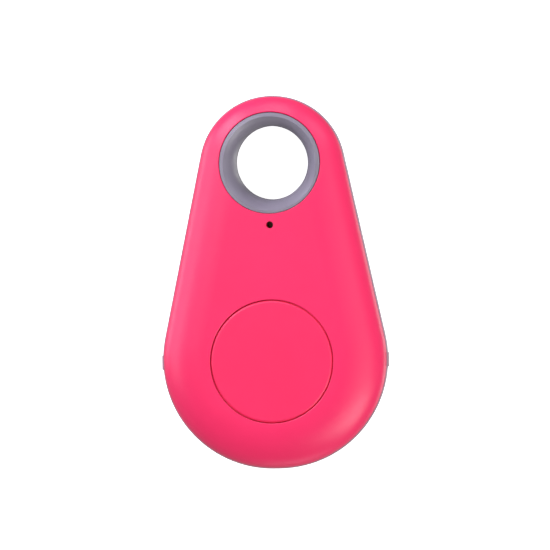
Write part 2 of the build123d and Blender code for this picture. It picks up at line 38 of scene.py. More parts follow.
# Heights and places of the board and its parts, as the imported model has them.
BOARD_HIGH = 6.5
BOARD_LOW = 5.7
BOARD_CENTRE = (0.0, -10.7)
CELL_CENTRE = (0.0, -9.3)
CAP_FIELD_RADIUS = 7.7
BUZZER_CENTRE = (0.0, -1.5)
ELECTRODE_RADIUS = 4.4
SWITCH_CENTRE = (0.0, -11.0)
SLEEVE_CENTRE = (0.0, 16.65)
# Outside radius of the sleeve; the frame beyond it is painted a paler grey, as painted light.
SLEEVE_OUTSIDE = 7.1
INDUCTOR_CENTRE = (6.2, -1.6)
TRANSISTOR_CENTRE = (4.2, 2.2)
RADIO_CENTRE = (-5.4, -0.6)
LED_CENTRE = (0.0, 8.1)
LED_SUBSTRATE_HEIGHT = 0.30
CRYSTAL_TUB_HEIGHT = 0.42
# Half the width of the change from one material to another.
HAIR = 0.01
CAPACITOR_CENTRES = [(-1.0, -1.2), (1.0, -1.2), (-9.4, 0.6)]
RESISTOR_CENTRES = [(1.0, -2.6), (-1.0, -2.6), (2.0, 8.1)]
CRYSTALS = [(-1.0, 1.6, 3.2, 2.5), (-9.6, -3.6, 1.5, 3.2)]
WIRE_BEADS = [(10.9, -9.3), (-10.9, -9.3), (-1.2, 5.0), (4.6, 5.0)]
SWITCH_BEADS = [(side * 3.75, -11.0 + end * 1.6) for side in (-1, 1) for end in (-1, 1)]

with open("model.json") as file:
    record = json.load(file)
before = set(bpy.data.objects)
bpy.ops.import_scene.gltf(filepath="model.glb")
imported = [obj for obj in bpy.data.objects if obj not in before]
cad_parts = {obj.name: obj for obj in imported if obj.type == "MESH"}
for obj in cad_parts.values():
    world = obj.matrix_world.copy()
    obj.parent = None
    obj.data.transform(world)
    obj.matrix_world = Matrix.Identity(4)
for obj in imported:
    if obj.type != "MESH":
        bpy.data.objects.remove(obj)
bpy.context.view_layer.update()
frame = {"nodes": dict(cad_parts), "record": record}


class Look:
    """One material: a Principled shader fed by patterns in the piece's own space."""

    def __init__(self, name, roughness=0.5, metallic=0.0, specular=0.5):
        self.material = bpy.data.materials.new(name)
        self.material.use_nodes = True
        self.tree = self.material.node_tree
        self.shader = self.tree.nodes["Principled BSDF"]
        self.shader.inputs["Metallic"].default_value = metallic
        self.shader.inputs["Roughness"].default_value = roughness
        self.shader.inputs["Specular IOR Level"].default_value = specular
        self.place = self.tree.nodes.new("ShaderNodeTexCoord").outputs["Object"]

    def set(self, socket, value):
        self.shader.inputs[socket].default_value = value

    def feed(self, socket, source):
        if isinstance(source, (int, float)):
            socket.default_value = source
        elif isinstance(source, tuple):
            socket.default_value = (*source, 1.0)
        else:
            self.tree.links.new(source, socket)

    def centred(self, centre):
        """Places measured from a point, in millimetres."""
        shift = self.tree.nodes.new("ShaderNodeMapping")
        shift.vector_type = "POINT"
        shift.inputs["Scale"].default_value = (1 / MM, 1 / MM, 1 / MM)
        shift.inputs["Location"].default_value = tuple(-part for part in centre)
        self.feed(shift.inputs["Vector"], self.place)
        return shift.outputs["Vector"]

    def stretched(self, sizes):
        """The piece's space scaled so that a pattern's unit is sizes millimetres."""
        mapping = self.tree.nodes.new("ShaderNodeMapping")
        mapping.inputs["Scale"].default_value = tuple(1 / (size * MM) for size in sizes)
        self.feed(mapping.inputs["Vector"], self.place)
        return mapping.outputs["Vector"]

    def noise(self, size, detail=2.0, space=None):
        """Cloudy pattern whose patches are about size millimetres."""
        sizes = size if isinstance(size, tuple) else (size, size, size)
        noise = self.tree.nodes.new("ShaderNodeTexNoise")
        noise.inputs["Scale"].default_value = 1.0
        noise.inputs["Detail"].default_value = detail
        self.feed(noise.inputs["Vector"], space or self.stretched(sizes))
        return noise.outputs["Fac"]

    def cells(self, size):
        """Distance from the middles of irregular cells about size millimetres across."""
        cells = self.tree.nodes.new("ShaderNodeTexVoronoi")
        cells.inputs["Scale"].default_value = 1.0
        self.feed(cells.inputs["Vector"], self.stretched((size, size, size)))
        return cells.outputs["Distance"]

    def waves(self, pitch, direction, distortion=0.0):
        """Soft parallel ridges a pitch apart."""
        waves = self.tree.nodes.new("ShaderNodeTexWave")
        waves.bands_direction = direction
        waves.inputs["Scale"].default_value = ONE_WAVE_PER_UNIT
        waves.inputs["Distortion"].default_value = distortion
        self.feed(waves.inputs["Vector"], self.stretched((pitch, pitch, pitch)))
        return waves.outputs["Fac"]

    def radius(self, centre):
        """Distance from an upright axis, in millimetres."""
        parts = self.tree.nodes.new("ShaderNodeSeparateXYZ")
        self.feed(parts.inputs["Vector"], self.centred((*centre, 0.0)))
        x, y = parts.outputs["X"], parts.outputs["Y"]
        squares = self.maths(
            "ADD", self.maths("MULTIPLY", x, x), self.maths("MULTIPLY", y, y)
        )
        return self.maths("SQRT", squares, 0.0)

    def turned(self, centre, spread):
        """Space that runs round an upright axis: long streaks along the turn."""
        radial = self.radius(centre)
        flat = self.tree.nodes.new("ShaderNodeCombineXYZ")
        self.feed(flat.inputs["X"], self.maths("DIVIDE", radial, spread))
        return flat.outputs["Vector"]

    def height(self):
        """Height above the resting face, in millimetres."""
        parts = self.tree.nodes.new("ShaderNodeSeparateXYZ")
        self.feed(parts.inputs["Vector"], self.centred((0.0, 0.0, 0.0)))
        return parts.outputs["Z"]

    def level(self):
        """1 where the surface is level, 0 where it is upright."""
        geometry = self.tree.nodes.new("ShaderNodeNewGeometry")
        parts = self.tree.nodes.new("ShaderNodeSeparateXYZ")
        self.feed(parts.inputs["Vector"], geometry.outputs["Normal"])
        return self.maths("ABSOLUTE", parts.outputs["Z"], 0.0)

    def maths(self, operation, first, second):
        node = self.tree.nodes.new("ShaderNodeMath")
        node.operation = operation
        self.feed(node.inputs[0], first)
        self.feed(node.inputs[1], second)
        return node.outputs[0]

    def span(self, value, low, high, start=0.35, end=0.65):
        """The value stretched from start..end to low..high and held there."""
        node = self.tree.nodes.new("ShaderNodeMapRange")
        self.feed(node.inputs["Value"], value)
        node.inputs["From Min"].default_value = start
        node.inputs["From Max"].default_value = end
        node.inputs["To Min"].default_value = low
        node.inputs["To Max"].default_value = high
        return node.outputs["Result"]

    def mix(self, share, first, second):
        node = self.tree.nodes.new("ShaderNodeMix")
        node.data_type = "RGBA"
        self.feed(node.inputs[0], share)
        self.feed(node.inputs[6], first)
        self.feed(node.inputs[7], second)
        return node.outputs[2]

    def colour(self, source):
        self.feed(self.shader.inputs["Base Color"], source)

    def roughness(self, source):
        self.feed(self.shader.inputs["Roughness"], source)

    def metallic(self, source):
        self.feed(self.shader.inputs["Metallic"], source)

    def bump(self, *layers):
        """Raises the surface by layers of (pattern, depth in millimetres)."""
        normal = None
        for pattern, depth in layers:
            node = self.tree.nodes.new("ShaderNodeBump")
            node.inputs["Distance"].default_value = depth * MM
            self.feed(node.inputs["Height"], pattern)
            if normal:
                self.feed(node.inputs["Normal"], normal)
            normal = node.outputs["Normal"]
        self.feed(self.shader.inputs["Normal"], normal)


def moulded(name, colour, shade, roughness, grain=0.12, depth=0.0012):
    """Moulded plastic: faint flow clouds, a fine eroded grain and uneven gloss."""
    look = Look(name)
    flow = look.noise(7.0, 3.0)
    grain_noise = look.noise(grain, 2.0)
    speckle = look.mix(look.span(flow, 0.0, 1.0), colour, shade)
    look.colour(look.mix(look.span(grain_noise, 0.0, 0.35), speckle, shade))
    look.roughness(look.span(look.noise(1.3, 4.0), *roughness))
    look.bump((look.noise(0.45, 2.0), depth / 2), (grain_noise, depth))
    return look


def soft_touch(name, colour, shade):
    """Satin rubbery paint over plastic, with a faint sheen at its turned edges."""
    look = moulded(name, colour, shade, (0.36, 0.40), grain=0.09, depth=0.0006)
    look.set("Sheen Weight", 0.04)
    look.set("Sheen Roughness", 0.5)
    return look


def cloudy_plastic(name, colour, shade):
    """Slightly see-through grey plastic that lets a little light into its depth."""
    look = moulded(name, colour, shade, (0.34, 0.44), grain=0.10, depth=0.0010)
    look.set("Subsurface Weight", 0.12)
    look.set("Subsurface Radius", (0.8, 0.7, 0.8))
    look.set("Subsurface Scale", 0.001)
    return look


def frame_plastic():
    """The cloudy grey of the frame, with painted light on the thin band outside the sleeve: a paler
    grey there that stands in for light.
    """
    look = cloudy_plastic("grey_frame", (0.265, 0.246, 0.294), (0.228, 0.206, 0.252))
    sleeve_grey = look.shader.inputs["Base Color"].links[0].from_socket
    # Painted light: beyond the sleeve's outside radius the frame is painted a paler grey.
    outside = look.span(look.radius(SLEEVE_CENTRE), 0.0, 1.0, SLEEVE_OUTSIDE, SLEEVE_OUTSIDE + 1)
    look.colour(look.mix(outside, sleeve_grey, (0.430, 0.370, 0.420)))
    return look


def brushed(name, colour, dark, roughness, run=(4.0, 0.05, 0.05), depth=0.0006):
    """Rolled or brushed metal: long fine streaks and a few dull patches."""
    look = Look(name, metallic=1.0)
    streaks = look.noise(run, 3.0)
    patches = look.noise(1.8, 3.0)
    look.colour(look.mix(look.span(patches, 0.0, 1.0, 0.45, 0.75), colour, dark))
    look.roughness(look.span(streaks, *roughness))
    look.bump((streaks, depth))
    return look


def turned_metal(name, centre, colour, dark, roughness, pitch=0.07, depth=0.0008):
    """Metal sheet finished on a spindle: fine rings about an upright axis."""
    look = Look(name, metallic=1.0)
    rings = look.noise(1.0, 2.0, look.turned(centre, pitch))
    scuffs = look.noise((0.9, 0.12, 0.5), 4.0)
    look.colour(look.mix(look.span(scuffs, 0.0, 1.0, 0.5, 0.8), colour, dark))
    look.roughness(look.span(rings, *roughness))
    look.bump((rings, depth), (scuffs, depth / 2))
    return look


def tinned(name, colour, dark, roughness, grain=0.25):
    """Dull tin or solder with crystalline grains."""
    look = Look(name, metallic=1.0)
    grains = look.cells(grain)
    look.colour(look.mix(look.span(grains, 0.0, 1.0, 0.2, 0.8), colour, dark))
    look.roughness(look.span(look.noise(0.3, 3.0), *roughness))
    look.bump((look.noise(0.4, 2.0), 0.006))
    return look


def board_mask():
    """Green mask over glass cloth on the faces, and bare laminate at the cut edge."""
    look = Look("board_mask", specular=0.55)
    weave = look.maths("MULTIPLY", look.waves(0.45, "X"), look.waves(0.45, "Y"))
    clouds = look.noise(3.0, 3.0)
    green = look.mix(look.span(clouds, 0.0, 1.0), (0.012, 0.110, 0.045), (0.018, 0.145, 0.060))
    green = look.mix(look.span(weave, 0.0, 0.3, 0.0, 1.0), green, (0.030, 0.200, 0.085))
    layers = look.waves(0.16, "Z", 1.5)
    laminate = look.mix(layers, (0.36, 0.30, 0.13), (0.48, 0.43, 0.22))
    look.colour(look.mix(look.span(look.level(), 0.0, 1.0, 0.4, 0.6), laminate, green))
    look.roughness(look.span(clouds, 0.26, 0.36))
    look.bump((weave, 0.004), (look.noise(0.12), 0.0008))
    return look


def mask_over_copper():
    """The mask where copper runs under it: lighter and standing a little proud."""
    look = Look("mask_over_copper", specular=0.55)
    clouds = look.noise(2.0, 3.0)
    green = look.mix(look.span(clouds, 0.0, 1.0), (0.040, 0.250, 0.085), (0.055, 0.300, 0.110))
    look.colour(green)
    look.roughness(look.span(clouds, 0.24, 0.34))
    look.bump((look.noise(0.12), 0.0008))
    return look


def printed_white():
    """White ink printed on the board, a little worn."""
    look = Look("printed_white")
    worn = look.noise(0.18, 3.0)
    rubbed = look.span(worn, 0.0, 1.0, 0.55, 0.75)
    look.colour(look.mix(rubbed, (0.78, 0.79, 0.75), (0.45, 0.55, 0.46)))
    look.roughness(look.span(worn, 0.55, 0.70))
    look.bump((worn, 0.004))
    return look


def bare_copper(name, colour, dark):
    """Plated copper with a slight tarnish."""
    look = Look(name, metallic=1.0)
    tarnish = look.noise(0.8, 4.0)
    look.colour(look.mix(look.span(tarnish, 0.0, 1.0, 0.45, 0.7), colour, dark))
    look.roughness(look.span(look.noise(0.15, 2.0), 0.22, 0.38))
    look.bump((look.noise(0.08, 2.0), 0.0015))
    return look


def chip_resin():
    """Black moulding compound with silica specks."""
    look = Look("chip_resin", specular=0.45)
    specks = look.cells(0.10)
    apart = look.span(specks, 0.0, 1.0, 0.1, 0.7)
    look.colour(look.mix(apart, (0.045, 0.045, 0.048), (0.016, 0.016, 0.018)))
    look.roughness(look.span(look.noise(0.3, 3.0), 0.48, 0.62))
    look.bump((look.noise(0.05, 2.0), 0.003))
    return look


def crystal_can():
    """Crystal package: a ceramic tub below, a seam-welded metal lid above."""
    look = Look("crystal_can")
    lid_low = BOARD_HIGH + CRYSTAL_TUB_HEIGHT
    lid = look.span(look.height(), 0.0, 1.0, lid_low - HAIR, lid_low + HAIR)
    streaks = look.noise((1.5, 0.04, 0.04), 3.0)
    metal = look.mix(look.span(streaks, 0.0, 1.0), (0.62, 0.60, 0.55), (0.52, 0.50, 0.46))
    tub = look.mix(look.noise(0.3, 3.0), (0.42, 0.38, 0.30), (0.52, 0.47, 0.38))
    look.colour(look.mix(lid, tub, metal))
    look.metallic(lid)
    look.roughness(look.span(streaks, 0.26, 0.40))
    look.bump((streaks, 0.0008))
    return look


def led_resin():
    """Indicator: a white substrate under pale yellow resin."""
    look = Look("led_resin", specular=0.6)
    resin_low = BOARD_HIGH + LED_SUBSTRATE_HEIGHT
    resin = look.span(look.height(), 0.0, 1.0, resin_low - HAIR, resin_low + HAIR)
    clouds = look.noise(0.2, 3.0)
    substrate = look.mix(clouds, (0.62, 0.62, 0.58), (0.72, 0.72, 0.68))
    phosphor = look.mix(clouds, (0.78, 0.62, 0.12), (0.85, 0.74, 0.28))
    look.colour(look.mix(resin, substrate, phosphor))
    look.roughness(look.span(resin, 0.45, 0.16, 0.0, 1.0))
    look.bump((look.noise(0.07), 0.0015))
    return look


def fired_ceramic(name, top, side):
    """Chip body: one colour on its level faces and another on its upright ones."""
    look = Look(name)
    grain = look.noise(0.07, 3.0)
    level = look.span(look.level(), 0.0, 1.0, 0.5, 0.7)
    plain = look.mix(level, side, top)
    look.colour(look.mix(look.span(grain, 0.0, 0.4), plain, (0.10, 0.08, 0.06)))
    look.roughness(look.span(grain, 0.40, 0.58))
    look.bump((grain, 0.003))
    return look


def ferrite():
    """Sintered ferrite: charcoal with a gritty face."""
    look = Look("ferrite", specular=0.45)
    grit = look.noise(0.09, 4.0)
    look.colour(look.mix(look.span(grit, 0.0, 1.0), (0.055, 0.052, 0.050), (0.095, 0.088, 0.082)))
    look.roughness(look.span(grit, 0.50, 0.68))
    look.bump((grit, 0.008))
    return look


def enamelled_wire():
    """Copper wire under clear amber enamel."""
    look = Look("enamelled_wire", metallic=1.0)
    clouds = look.noise(0.5, 3.0)
    look.colour(look.mix(look.span(clouds, 0.0, 1.0), (0.62, 0.24, 0.07), (0.48, 0.17, 0.05)))
    look.roughness(look.span(clouds, 0.22, 0.32))
    look.bump((look.noise(0.1), 0.0015))
    look.set("Coat Weight", 0.5)
    look.set("Coat Roughness", 0.12)
    return look


def cell_cap():
    """Nickel cap with the fine pressed dimples that coin cells have, and a smooth rim."""
    look = Look("cell_cap", metallic=1.0)
    dimples = look.cells(0.28)
    field = look.span(look.radius(CELL_CENTRE), 1.0, 0.0, CAP_FIELD_RADIUS, CAP_FIELD_RADIUS + 0.2)
    scuffs = look.noise((1.2, 0.15, 0.5), 4.0)
    dulled = look.span(scuffs, 0.0, 1.0, 0.5, 0.8)
    look.colour(look.mix(dulled, (0.64, 0.63, 0.60), (0.50, 0.49, 0.47)))
    look.roughness(look.span(scuffs, 0.24, 0.38))
    pressed = look.maths("MULTIPLY", look.span(dimples, 0.0, 1.0, 0.15, 0.45), field)
    look.bump((pressed, 0.012), (scuffs, 0.0008))
    return look


def silvered_ceramic():
    """Buzzer element: a fired silver electrode inside a bare ceramic margin."""
    look = Look("silvered_ceramic")
    inner, outer = ELECTRODE_RADIUS - 2 * HAIR, ELECTRODE_RADIUS + 2 * HAIR
    silver = look.span(look.radius(BUZZER_CENTRE), 1.0, 0.0, inner, outer)
    brush = look.noise((0.9, 0.08, 0.5), 4.0)
    ceramic = look.mix(look.noise(0.4, 3.0), (0.34, 0.32, 0.26), (0.44, 0.41, 0.34))
    metal = look.mix(look.span(brush, 0.0, 1.0), (0.74, 0.73, 0.70), (0.62, 0.61, 0.58))
    look.colour(look.mix(silver, ceramic, metal))
    look.metallic(look.span(silver, 0.0, 0.85, 0.0, 1.0))
    look.roughness(look.span(brush, 0.38, 0.55))
    look.bump((brush, 0.003))
    return look


def foam_tape():
    """Thin foam tape with open cells at its edge, with painted shade darkening the middle of each
    pore.
    """
    look = Look("foam_tape", specular=0.3)
    pores = look.cells(0.14)
    pore_shade = look.span(pores, 0.0, 1.0, 0.1, 0.6)
    # Painted shade: the pore middles are painted darker than the cell walls.
    look.colour(look.mix(pore_shade, (0.50, 0.49, 0.45), (0.74, 0.73, 0.68)))
    look.roughness(look.span(pores, 0.70, 0.88))
    look.bump((pores, 0.02))
    return look


LOOKS = {
    "pink_cover": soft_touch("pink_cover", (0.970, 0.0240, 0.131), (0.945, 0.0225, 0.125)),
    "pink_button": soft_touch("pink_button", (0.970, 0.0235, 0.123), (0.945, 0.0220, 0.117)),
    "grey_frame": frame_plastic(),
    "board_laminate": board_mask(),
    "board_copper": bare_copper("antenna_copper", (0.74, 0.46, 0.20), (0.52, 0.30, 0.13)),
    "black_plastic": moulded(
        "black_plastic", (0.022, 0.022, 0.024), (0.012, 0.012, 0.013), (0.42, 0.56), depth=0.004
    ),
    "white_plastic": moulded(
        "white_plastic", (0.74, 0.73, 0.68), (0.64, 0.63, 0.58), (0.36, 0.46), depth=0.002
    ),
    "switch_steel": brushed("switch_steel", (0.66, 0.65, 0.63), (0.50, 0.49, 0.47), (0.22, 0.36)),
    "tinned_metal": tinned("tinned_metal", (0.70, 0.70, 0.69), (0.58, 0.58, 0.57), (0.28, 0.42)),
    "chip_resin": chip_resin(),
    "solder": tinned("solder", (0.76, 0.76, 0.77), (0.62, 0.62, 0.63), (0.14, 0.26), grain=0.18),
    "crystal_can": crystal_can(),
    "led_resin": led_resin(),
    "capacitor_ceramic": fired_ceramic(
        "capacitor_ceramic", (0.46, 0.31, 0.19), (0.40, 0.27, 0.16)
    ),
    "resistor_ceramic": fired_ceramic(
        "resistor_ceramic", (0.020, 0.020, 0.024), (0.72, 0.71, 0.67)
    ),
    "inductor_ferrite": ferrite(),
    "cell_steel": turned_metal(
        "cell_steel", CELL_CENTRE, (0.66, 0.65, 0.62), (0.52, 0.51, 0.49), (0.20, 0.34)
    ),
    "cell_cap": cell_cap(),
    "gasket_plastic": moulded(
        "gasket_plastic", (0.060, 0.058, 0.055), (0.040, 0.039, 0.037), (0.40, 0.52), depth=0.003
    ),
    "contact_steel": brushed(
        "contact_steel", (0.74, 0.71, 0.62), (0.58, 0.54, 0.46), (0.20, 0.33), run=(0.05, 3.0, 0.05)
    ),
    "adhesive": foam_tape(),
    "buzzer_brass": turned_metal(
        "buzzer_brass", BUZZER_CENTRE, (0.78, 0.57, 0.24), (0.55, 0.37, 0.15), (0.24, 0.40)
    ),
    "buzzer_ceramic": silvered_ceramic(),
    "spring_brass": brushed(
        "spring_brass", (0.80, 0.60, 0.26), (0.60, 0.42, 0.18), (0.20, 0.34), run=(3.0, 0.05, 0.05)
    ),
}
EXTRA_LOOKS = {
    "mask_over_copper": mask_over_copper(),
    "printed_white": printed_white(),
    "gold_plate": bare_copper("gold_plate", (0.86, 0.63, 0.28), (0.72, 0.50, 0.20)),
    "enamelled_wire": enamelled_wire(),
}


def dress_nodes():
    """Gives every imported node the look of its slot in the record."""
    for part in frame["record"]["subparts"]:
        mesh = frame["nodes"][part["node"]].data
        mesh.materials.clear()
        mesh.materials.append(LOOKS[part["material_slot"]].material)


SHARP_EDGE = math.radians(35)


def soften(node, width):
    """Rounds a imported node's sharp edges with a modifier."""
    piece = frame["nodes"][node]
    bevel = piece.modifiers.new("edge_round", "BEVEL")
    bevel.width = width * MM
    bevel.segments = 2
    bevel.limit_method = "ANGLE"
    bevel.angle_limit = SHARP_EDGE
    bevel.use_clamp_overlap = True
    normals = piece.modifiers.new("even_shading", "WEIGHTED_NORMAL")
    normals.keep_sharp = False


def add_piece(name, bm, body, look, sharp=40.0):
    """Turns a form in millimetres into a named piece that rides on a body."""
    bmesh.ops.scale(bm, vec=(MM, MM, MM), verts=bm.verts)
    bmesh.ops.recalc_face_normals(bm, faces=bm.faces)
    for face in bm.faces:
        face.smooth = True
    mesh = bpy.data.meshes.new(name)
    bm.to_mesh(mesh)
    bm.free()
    mesh.set_sharp_from_angle(angle=math.radians(sharp))
    mesh.materials.append(look.material)
    piece = bpy.data.objects.new(name, mesh)
    bpy.context.scene.collection.objects.link(piece)
    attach(piece, body)
    return piece


def add_lathe(bm, centre, profile, steps=48):
    """Adds a closed ring swept about an upright axis from (radius, height) points."""
    rings = []
    for step in range(steps):
        turn = 2 * math.pi * step / steps
        rings.append([
            bm.verts.new((centre[0] + r * math.cos(turn), centre[1] + r * math.sin(turn), z))
            for r, z in profile
        ])
    for near, far in zip(rings, rings[1:] + rings[:1]):
        for low in range(len(profile)):
            high = (low + 1) % len(profile)
            bm.faces.new((near[low], far[low], far[high], near[high]))


def add_dome(bm, centre, profile, steps=32):
    """Adds a solid of revolution whose profile starts and ends on its upright axis."""
    foot = bm.verts.new((centre[0], centre[1], profile[0][1]))
    tip = bm.verts.new((centre[0], centre[1], profile[-1][1]))
    rings = []
    for r, z in profile[1:-1]:
        rings.append([
            bm.verts.new((
                centre[0] + r * math.cos(2 * math.pi * step / steps),
                centre[1] + r * math.sin(2 * math.pi * step / steps),
                z,
            ))
            for step in range(steps)
        ])
    for step in range(steps):
        after = (step + 1) % steps
        bm.faces.new((foot, rings[0][after], rings[0][step]))
        bm.faces.new((rings[-1][step], rings[-1][after], tip))
        for low, high in zip(rings, rings[1:]):
            bm.faces.new((low[step], low[after], high[after], high[step]))


def add_block(bm, middle, size, bevel=0.0, segments=2):
    """Adds a box with rounded edges about its middle."""
    made = bmesh.ops.create_cube(bm, size=1.0)["verts"]
    bmesh.ops.scale(bm, vec=size, verts=made)
    bmesh.ops.translate(bm, vec=middle, verts=made)
    if bevel:
        edges = list({edge for vert in made for edge in vert.link_edges})
        bmesh.ops.bevel(bm, geom=edges, offset=bevel, segments=segments, affect="EDGES", profile=0.5)


def add_strip(bm, path, width, low, high):
    """Adds a flat strip that follows a path of (x, y) points with mitred corners."""
    points = [Vector(point) for point in path]
    sides = []
    for index, point in enumerate(points):
        before = (point - points[index - 1]).normalized() if index else None
        after = (points[index + 1] - point).normalized() if index < len(points) - 1 else None
        run = ((before or after) + (after or before)).normalized()
        across = Vector((-run.y, run.x))
        lean = abs(run.dot(before or after))
        reach = across * (width / 2 / max(lean, 0.5))
        sides.append((point + reach, point - reach))
    rows = [
        [bm.verts.new((*left, low)), bm.verts.new((*right, low)),
         bm.verts.new((*right, high)), bm.verts.new((*left, high))]
        for left, right in sides
    ]
    for near, far in zip(rows, rows[1:]):
        for corner in range(4):
            after = (corner + 1) % 4
            bm.faces.new((near[corner], near[after], far[after], far[corner]))
    bm.faces.new(rows[0][::-1])
    bm.faces.new(rows[-1])


def add_frame(bm, centre, size, line, low, high):
    """Adds the four strips of a rectangle's outline."""
    x, y = centre
    half_x, half_y = size[0] / 2, size[1] / 2
    signs = ((-1, -1), (1, -1), (1, 1), (-1, 1))
    corners = [(x + side * half_x, y + end * half_y) for side, end in signs]
    for start, end in zip(corners, corners[1:] + corners[:1]):
        add_strip(bm, [start, end], line, low, high)


# Copper runs on the board's upper face, from part to part.
TRACE_WIDTH = 0.22
POWER_WIDTH = 0.55
TRACES = [
    [(-5.65, 2.2), (-5.65, 4.9)],
    [(-0.9, 8.1), (-1.9, 8.1), (-2.7, 7.3), (-2.7, 3.6), (-1.9, 2.8)],
    [(0.9, 8.1), (1.4, 8.1)],
    [(2.6, 8.1), (4.2, 8.1), (5.3, 7.0), (5.3, 4.4), (4.3, 3.4)],
    [(-1.2, 5.0), (0.3, 5.0), (1.6, 3.7), (1.6, -0.2), (1.1, -0.8)],
    [(4.6, 5.0), (6.2, 5.0), (7.7, 3.5), (7.7, 0.8), (7.0, 0.1)],
    [(5.15, 1.3), (5.15, 0.6), (5.5, 0.2)],
    [(3.2, 1.3), (3.2, -0.2), (2.1, -1.3), (1.6, -1.3)],
    [(-3.8, -9.4), (-5.3, -9.4), (-6.4, -8.3), (-6.4, -3.4)],
    [(3.8, -9.4), (5.0, -9.4), (5.8, -8.6), (5.8, -5.6), (3.2, -3.0), (1.7, -2.6)],
    [(-2.6, -1.1), (-1.6, -1.2)],
    [(-2.6, -2.1), (-1.7, -2.6)],
    [(-0.4, -1.2), (0.4, -1.2)],
    [(-0.4, -2.6), (0.4, -2.6)],
    [(-2.6, 0.4), (-2.1, 0.9)],
    [(-2.6, -0.1), (-0.2, -0.1), (0.1, 0.3)],
    [(-8.2, -1.35), (-8.8, -1.35), (-9.6, -2.1)],
    [(-8.2, 0.15), (-8.6, 0.5), (-8.9, 0.6)],
    [(-8.2, 1.15), (-9.2, 1.15), (-10.0, 1.9), (-10.0, 3.0)],
    [(-4.4, -3.4), (-4.4, -6.4), (-3.2, -7.6), (-1.2, -7.6)],
    [(-4.9, -3.4), (-4.9, -6.7), (-3.4, -8.2), (-1.2, -8.2)],
    [(-3.9, -3.4), (-3.9, -5.0), (-3.2, -5.7), (3.0, -5.7), (3.8, -4.9), (3.8, -3.9)],
    [(-3.4, -18.9), (-3.4, -16.2), (-7.4, -12.2), (-7.4, -4.2), (-6.9, -3.7)],
    [(-1.1, -18.9), (-1.1, -15.6)],
    [(1.1, -18.9), (1.1, -15.6)],
    [(3.4, -18.9), (3.4, -16.4), (7.4, -12.4), (7.4, -7.6)],
]
POWER_TRACES = [
    [(10.9, -9.3), (10.9, -4.6), (9.0, -2.7), (8.1, -1.9)],
    [(-10.9, -9.3), (-10.9, -7.3), (-9.9, -6.3), (-9.6, -5.4)],
    [(3.8, -12.6), (5.6, -12.6), (7.2, -14.2), (7.2, -17.0)],
    [(-3.8, -12.6), (-5.6, -12.6), (-7.2, -14.2), (-7.2, -17.0)],
]
UNDER_TRACES = [
    [(-3.2, 3.0), (-3.2, 5.6), (-5.0, 7.4), (-7.0, 7.4)],
    [(4.4, 3.8), (4.4, 6.0), (5.8, 7.4), (7.4, 7.4)],
    [(-1.2, 5.0), (1.4, 5.0), (3.0, 6.6), (3.0, 9.2)],
    [(-8.2, 3.0), (-8.2, 5.4), (-6.2, 7.4)],
    [(0.0, 9.4), (-4.2, 9.4), (-5.6, 8.0)],
]
LOOSE_VIAS = [
    (-10.0, 3.0), (-1.2, -7.6), (-1.2, -8.2), (-1.1, -15.6), (1.1, -15.6),
    (7.4, -7.6), (7.2, -17.0), (-7.2, -17.0), (3.8, -3.9), (-2.6, -4.4),
    (0.2, -4.2), (8.9, 1.9), (8.9, 3.1), (6.9, 6.6), (3.0, 6.4), (-3.9, 6.4), (-3.9, 7.6),
    (9.4, -5.6), (-8.8, -6.6), (8.6, -10.4), (-8.6, -10.4), (8.6, -13.0), (-8.6, -13.0),
    (1.9, 6.0), (0.2, 6.6),
]
TEST_PADS = [(-3.4, -19.4), (-1.1, -19.4), (1.1, -19.4), (3.4, -19.4), (8.9, -15.2), (-8.9, -15.2)]
COPPER_RISE = 0.035
INK_RISE = 0.02
# How far fine detail is sunk into what it sits on.
SUNK = 0.02
VIA_HOLE = 0.14
VIA_RING = 0.30
VIA_RISE = 0.045
TEST_PAD_RADIUS = 0.62
STITCH_RADIUS = 11.9
STITCH_START = -198
STITCH_STEP = 9
STITCH_COUNT = 25
LOWER_POST = (0.0, -22.5)
POST_CLEARANCE = 2.2


def board_traces():
    """Masked copper on both faces of the board."""
    bm = bmesh.new()
    for path in TRACES:
        add_strip(bm, path, TRACE_WIDTH, BOARD_HIGH - COPPER_RISE, BOARD_HIGH + COPPER_RISE)
    for path in POWER_TRACES:
        add_strip(bm, path, POWER_WIDTH, BOARD_HIGH - COPPER_RISE, BOARD_HIGH + COPPER_RISE)
    for path in UNDER_TRACES:
        add_strip(bm, path, TRACE_WIDTH, BOARD_LOW - COPPER_RISE, BOARD_LOW + COPPER_RISE)
    add_piece("board_traces", bm, "core", EXTRA_LOOKS["mask_over_copper"], 30)


def edge_vias():
    """Stitching vias that follow the board's round end, clear of the post."""
    places = []
    for step in range(STITCH_COUNT):
        turn = math.radians(STITCH_START + step * STITCH_STEP)
        place = (STITCH_RADIUS * math.cos(turn), BOARD_CENTRE[1] + STITCH_RADIUS * math.sin(turn))
        if math.dist(place, LOWER_POST) > POST_CLEARANCE:
            places.append(place)
    return places


def board_vias():
    """Plated rings round drilled holes on both faces, and round test pads."""
    bm = bmesh.new()
    for x, y in LOOSE_VIAS + edge_vias():
        upper = ring_profile(VIA_HOLE, VIA_RING, BOARD_HIGH - SUNK, BOARD_HIGH + VIA_RISE)
        lower = ring_profile(VIA_HOLE, VIA_RING, BOARD_LOW - VIA_RISE, BOARD_LOW + SUNK)
        add_lathe(bm, (x, y), upper, 20)
        add_lathe(bm, (x, y), lower, 20)
    for x, y in TEST_PADS:
        add_dome(bm, (x, y), disc_profile(TEST_PAD_RADIUS, BOARD_HIGH - SUNK, BOARD_HIGH + 0.04))
    add_piece("board_vias", bm, "core", EXTRA_LOOKS["gold_plate"], 30)


